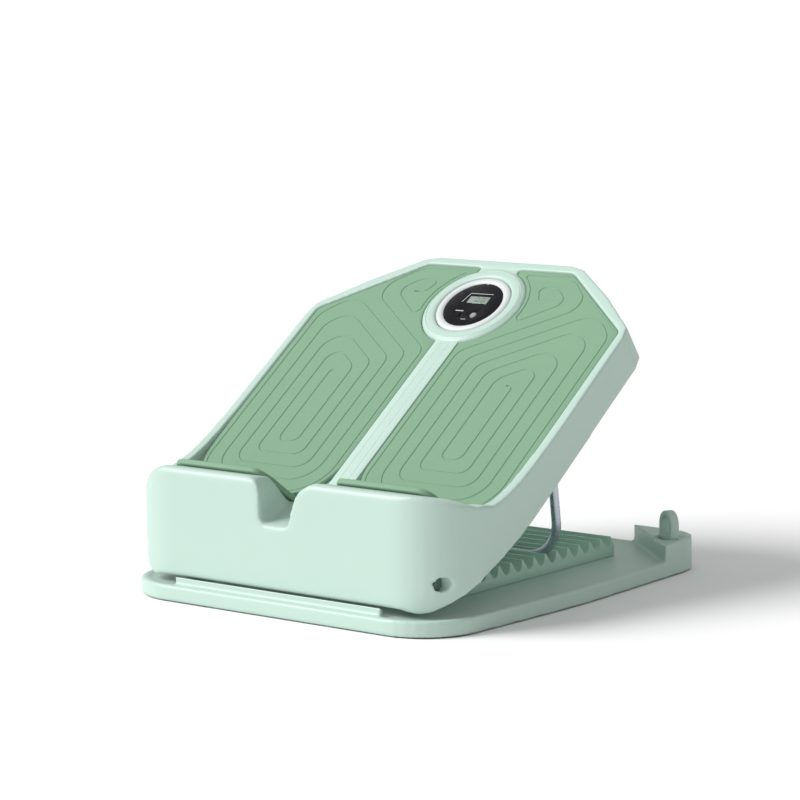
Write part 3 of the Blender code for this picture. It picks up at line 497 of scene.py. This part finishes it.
def strip_outline():
    """Outline of the raised trim up the middle of the deck and round the counter, in deck mm."""
    start = math.degrees(math.acos(STRIP_HALF / RING_RADIUS))
    right = [(STRIP_HALF, 61.5)] + arc(COUNTER, RING_RADIUS, -start, 64, 24) + [(20.2, 371.5)]
    return right + [(-x, v) for x, v in reversed(right)]


def plate(name, outline, low, high):
    """A flat plate between two heights from an outline, in deck mm."""
    mesh = bpy.data.meshes.new(name)
    shape = bmesh.new()
    face = shape.faces.new([shape.verts.new((x * MM, v * MM, low * MM)) for x, v in outline])
    lifted = bmesh.ops.extrude_face_region(shape, geom=[face])
    verts = [item for item in lifted["geom"] if isinstance(item, bmesh.types.BMVert)]
    bmesh.ops.translate(shape, vec=(0.0, 0.0, (high - low) * MM), verts=verts)
    bmesh.ops.recalc_face_normals(shape, faces=shape.faces)
    shape.to_mesh(mesh)
    shape.free()
    return new_object(name, mesh)


def centre_trim():
    """The trim's crisp edge and the two fine engraved lines that run up it and round the counter."""
    trim = plate("centre_trim", strip_outline(), 5.2, 7.75)
    bore, axis, above, below = 39.0, 0.0001, 30.0, -10.0
    hole = [(axis, above), (bore, above), (bore, below), (axis, below)]
    carve(trim, lathe("trim_hole", hole, 96, COUNTER))
    add_bevel(trim, 0.0007, 2, 50)
    bake(trim, sharp=None)
    for side in (-1, 1):
        start = math.degrees(math.acos(LINE_X / LINE_RING))
        path = [(LINE_X, 55.0)] + arc(COUNTER, LINE_RING, -start, 72, 40) + [(12.0, 380.0)]
        carve(trim, tube("line", [(side * x, v) for x, v in path], 0.6, height=7.95))
    bake(trim, DECK, 30)
    settle(trim, "deck_shell")


def counter_ring():
    """The low collar round the counter, with a soft crown and a sunken seat for the bezel."""
    profile = [(46.5, 7.3), (46.3, 8.5), (45.6, 9.2), (44.9, 9.45), (44.45, 9.05), (44.0, 9.5), (42.0, 9.65),
               (39.5, 9.65), (37.6, 9.45), (36.7, 8.9), (36.3, 8.0), (36.2, 5.0), (46.5, 5.0)]
    ring = bake(lathe("counter_collar", profile, 128, COUNTER), DECK, 30)
    settle(ring, "deck_shell")


RIM_DROP = 0.0013
FACES_KEPT = 0.30


def deck_shell():
    """The deck's moulding, with its heel stop shaped and rounded."""
    deck = moulded("deck_shell", 0.00135, 6, DECK)
    shape_heel_stop(deck)
    deck = lighten(round_heel_stop(deck), FACES_KEPT)
    stand_for(deck, "deck_shell")


def base_plate():
    """The base's moulding, with its rim drawn down to hide the rubber feet."""
    base = moulded("base_plate", 0.00145, 4)
    for vert in base.data.vertices:
        vert.co.z -= RIM_DROP * (1.0 - ramp(vert.co.z, 0.0018, 0.0080))
    base = lighten(base, FACES_KEPT)
    stand_for(base, "base_plate")


def tooth_rack():
    """The rack with its tooth edges rounded."""
    rack = bake(bevelled("tooth_rack", 0.0006, 2, 35), sharp=50)
    # The rack takes the greener mint copy: painted bounce light in its shade.
    stand_for(rack, "tooth_rack", MINT_PAINTED_BOUNCE)


# ---- counter ------------------------------------------------------------------------------------
def counter():
    """The round counter: bezel, face, window, generic marks and both buttons."""
    bezel = [(35.4, 7.4), (35.1, 8.3), (34.2, 9.1), (32.8, 9.6), (31.2, 9.65), (29.8, 9.3), (28.8, 8.7),
             (28.35, 8.2), (28.35, 5.3), (31.0, 4.9), (31.0, -9.9), (35.4, -9.9)]
    housing = bake(lathe("counter_bezel", bezel, 128, COUNTER), DECK, 40)
    stand_for(housing, "counter_housing")
    face = bevelled("counter_face", 0.0004, 2, 50, DECK)
    face = bake(face, DECK, 40)
    stand_for(face, "counter_face")
    window = bake(bevelled("lcd_window", 0.0003, 2, 40, DECK), DECK, 40)
    stand_for(window, "lcd_window")
    bar("frame_line_top", (-10.4, 14.2), (13.6, 14.6), 0.55, LIGHT_MARK)
    bar("frame_line_left", (-13.6, 3.0), (-10.6, 13.4), 0.55, LIGHT_MARK)
    bar("mark_left", (-13.2, -9.0), (-5.6, -9.0), 0.95, LIGHT_MARK)
    bar("mark_low", (-1.6, -19.6), (3.0, -19.4), 0.5, LIGHT_MARK)
    bar("bezel_tick", (-0.3, 27.6), (0.3, 27.6), 0.8, LOOKS["white_abs"])
    for index in range(2):
        digit(index, (0.6 + 6.0 * index, 6.9))
    for node in ("reset_button", "mode_button"):
        key = bake(bevelled(node, 0.0003, 2, 40, DECK), DECK, 40)
        stand_for(key, node, LOOKS["button_grey"] if node == "reset_button" else LOOKS["black_gloss"])
    streak("reset_streak", (8.5, -13.8), 1.9)


def bar(name, start, end, width, look, top=FACE_MARK_TOP, tall=0.12):
    """A thin printed line on the counter's face, from start to end in mm round the counter's centre."""
    a = Vector(start)
    b = Vector(end)
    along = (b - a).normalized() * width / 2
    across = Vector((-along.y, along.x))
    corners = [a - along - across, b + along - across, b + along + across, a - along + across]
    outline = [(c.x, c.y + COUNTER_V) for c in corners]
    made = plate(name, outline, top - 0.1, top - 0.1 + tall)
    bake(made, DECK, 40)
    settle(made, "counter_face", look)


def digit(index, centre):
    """A zero on the display, in separate bars."""
    x, y = centre
    half_wide = 1.5
    half_tall = 2.6
    lines = [((x - half_wide, y - half_tall), (x + half_wide, y - half_tall)),
             ((x - half_wide, y + half_tall), (x + half_wide, y + half_tall)),
             ((x - half_wide, y - half_tall + 0.9), (x - half_wide, y - 0.6)),
             ((x + half_wide, y - half_tall + 0.9), (x + half_wide, y - 0.6)),
             ((x - half_wide, y + 0.6), (x - half_wide, y + half_tall - 0.9)),
             ((x + half_wide, y + 0.6), (x + half_wide, y + half_tall - 0.9))]
    for k, (start, end) in enumerate(lines):
        bar(f"digit_{index + 1}_bar_{k + 1}", start, end, 0.45, DIGIT, top=DIGIT_TOP)


def streak(name, centre, half):
    """The raised mark on the reset button: two short slanted dashes."""
    reach = half * 0.8
    rise = 0.5
    half_width = 0.3
    for k, offset in enumerate((-0.9, 0.7)):
        a = Vector((centre[0] - reach, centre[1] + offset))
        b = Vector((centre[0] + reach, centre[1] + offset + rise))
        along = (b - a).normalized() * half_width
        across = Vector((-along.y, along.x))
        corners = [a - across, b - across, b + across, a + across]
        outline = [(c.x, c.y + COUNTER_V) for c in corners]
        made = plate(f"{name}_{k + 1}", outline, RESET_MARK_TOP - 0.15, RESET_MARK_TOP + 0.05)
        bake(made, DECK, 40)
        settle(made, "reset_button", LIGHT_MARK)


# ---- metal and small parts ----------------------------------------------------------------------
WIRE_RADIUS = 4.1
WIRE_END = 84.5
TOP_BEND = 12.0
FOOT_BEND = 34.0
PROP_PIVOT = Vector((0.0, 0.224, -0.020))


def prop_wire():
    """The wire drawn again on the CAD wire's bar, legs and pivot, with a wider bend at its foot."""
    low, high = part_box("prop_wire")
    radius = WIRE_RADIUS
    pivot = DECK @ PROP_PIVOT
    foot_y = high.y * 1000 - radius
    foot_z = low.z * 1000 + radius
    down = Vector((0.0, foot_y * MM - pivot.y, foot_z * MM - pivot.z))
    length = down.length * 1000
    half = high.x * 1000 - radius
    right = [(WIRE_END, 0.0)]
    right += arc((half - TOP_BEND, -TOP_BEND), TOP_BEND, 90, 0, 14)
    right += arc((half - FOOT_BEND, -length + FOOT_BEND), FOOT_BEND, 0, -90, 26)
    path = [(x, z) for x, z in right] + [(-x, z) for x, z in reversed(right)]
    lean = math.atan2(down.y, -down.z)
    wire = tube("prop_wire_detail", [(x, 0.0, z) for x, z in path], radius, sides=7)
    space = Matrix.Translation(pivot) @ Matrix.Rotation(lean, 4, "X")
    wire = bake(wire, space, 40)
    stand_for(wire, "prop_wire")


def small_parts():
    """Every node that has no piece of its own yet, with its edges rounded."""
    for node in NODES:
        if node in REPLACED:
            continue
        made = bake(bevelled(node, 0.00025, 2, 50), sharp=40)
        # The hinge pins' ends get the painted shade colour in place of their steel finish.
        stand_for(made, node, PIN_PAINTED_SHADE if node.startswith("hinge_pin") else None)


# ---- camera, light, floor -----------------------------------------------------------------------
def add_camera():
    """The photo's viewing angle, from a fit of its straight edges."""
    data = bpy.data.cameras.new("camera")
    data.sensor_width = 36.0
    data.lens = 139.8
    data.clip_end = 200.0
    camera = bpy.data.objects.new("camera", data)
    bpy.context.scene.collection.objects.link(camera)
    yaw = math.radians(38.11)
    pitch = math.radians(8.05)
    roll = math.radians(0.44)
    forward = Vector((-math.sin(yaw) * math.cos(pitch), math.cos(yaw) * math.cos(pitch), -math.sin(pitch)))
    level = Vector((math.cos(yaw), math.sin(yaw), 0.0))
    down = forward.cross(level)
    right = math.cos(roll) * level + math.sin(roll) * down
    down = -math.sin(roll) * level + math.cos(roll) * down
    turn = Matrix((right, -down, -forward)).transposed().to_4x4()
    place = (1.6310, -2.1037, 0.5346)
    camera.matrix_world = Matrix.Translation(place) @ turn
    bpy.context.scene.camera = camera


def add_sun(name, toward, strength, softness):
    """A very soft far light; toward points from the object to the light."""
    data = bpy.data.lights.new(name, "SUN")
    data.energy = strength
    data.angle = math.radians(softness)
    light = bpy.data.objects.new(name, data)
    bpy.context.scene.collection.objects.link(light)
    light.rotation_euler = (-Vector(toward)).to_track_quat("-Z", "Y").to_euler()


def add_world():
    """Even white light from all round."""
    world = bpy.data.worlds.new("studio")
    world.use_nodes = True
    world.node_tree.nodes["Background"].inputs["Color"].default_value = (1.0, 1.0, 1.0, 1.0)
    world.node_tree.nodes["Background"].inputs["Strength"].default_value = 0.50
    bpy.context.scene.world = world
    bpy.context.scene.view_settings.view_transform = "Standard"


FLOOR_HALF = 60.0
FLOOR_DROP = 0.0002


def add_floor():
    """A plain pale floor just under the object."""
    mesh = bpy.data.meshes.new("floor")
    shape = bmesh.new()
    bmesh.ops.create_grid(shape, x_segments=8, y_segments=8, size=FLOOR_HALF)
    shape.to_mesh(mesh)
    shape.free()
    made, nodes, links, shader = new_material("studio_floor")
    place = nodes.new("ShaderNodeTexCoord")
    cloud = noise(nodes, links, place, 3.0)
    links.new(remap(nodes, links, cloud.outputs["Fac"], 0.85, 0.95), shader.inputs["Roughness"])
    shader.inputs["Base Color"].default_value = (0.95, 0.95, 0.95, 1.0)
    shader.inputs["Specular IOR Level"].default_value = 0.1
    floor = new_object("floor", mesh, made)
    floor.location = (0.0, 0.0, -FLOOR_DROP)


deck_shell()
base_plate()
tooth_rack()
centre_trim()
counter_ring()
foot_pads()
heel_pads()
counter()
prop_wire()
small_parts()
add_camera()
add_world()
add_floor()
add_sun("key", (-0.54, -0.59, 0.60), 3.1, 35.0)
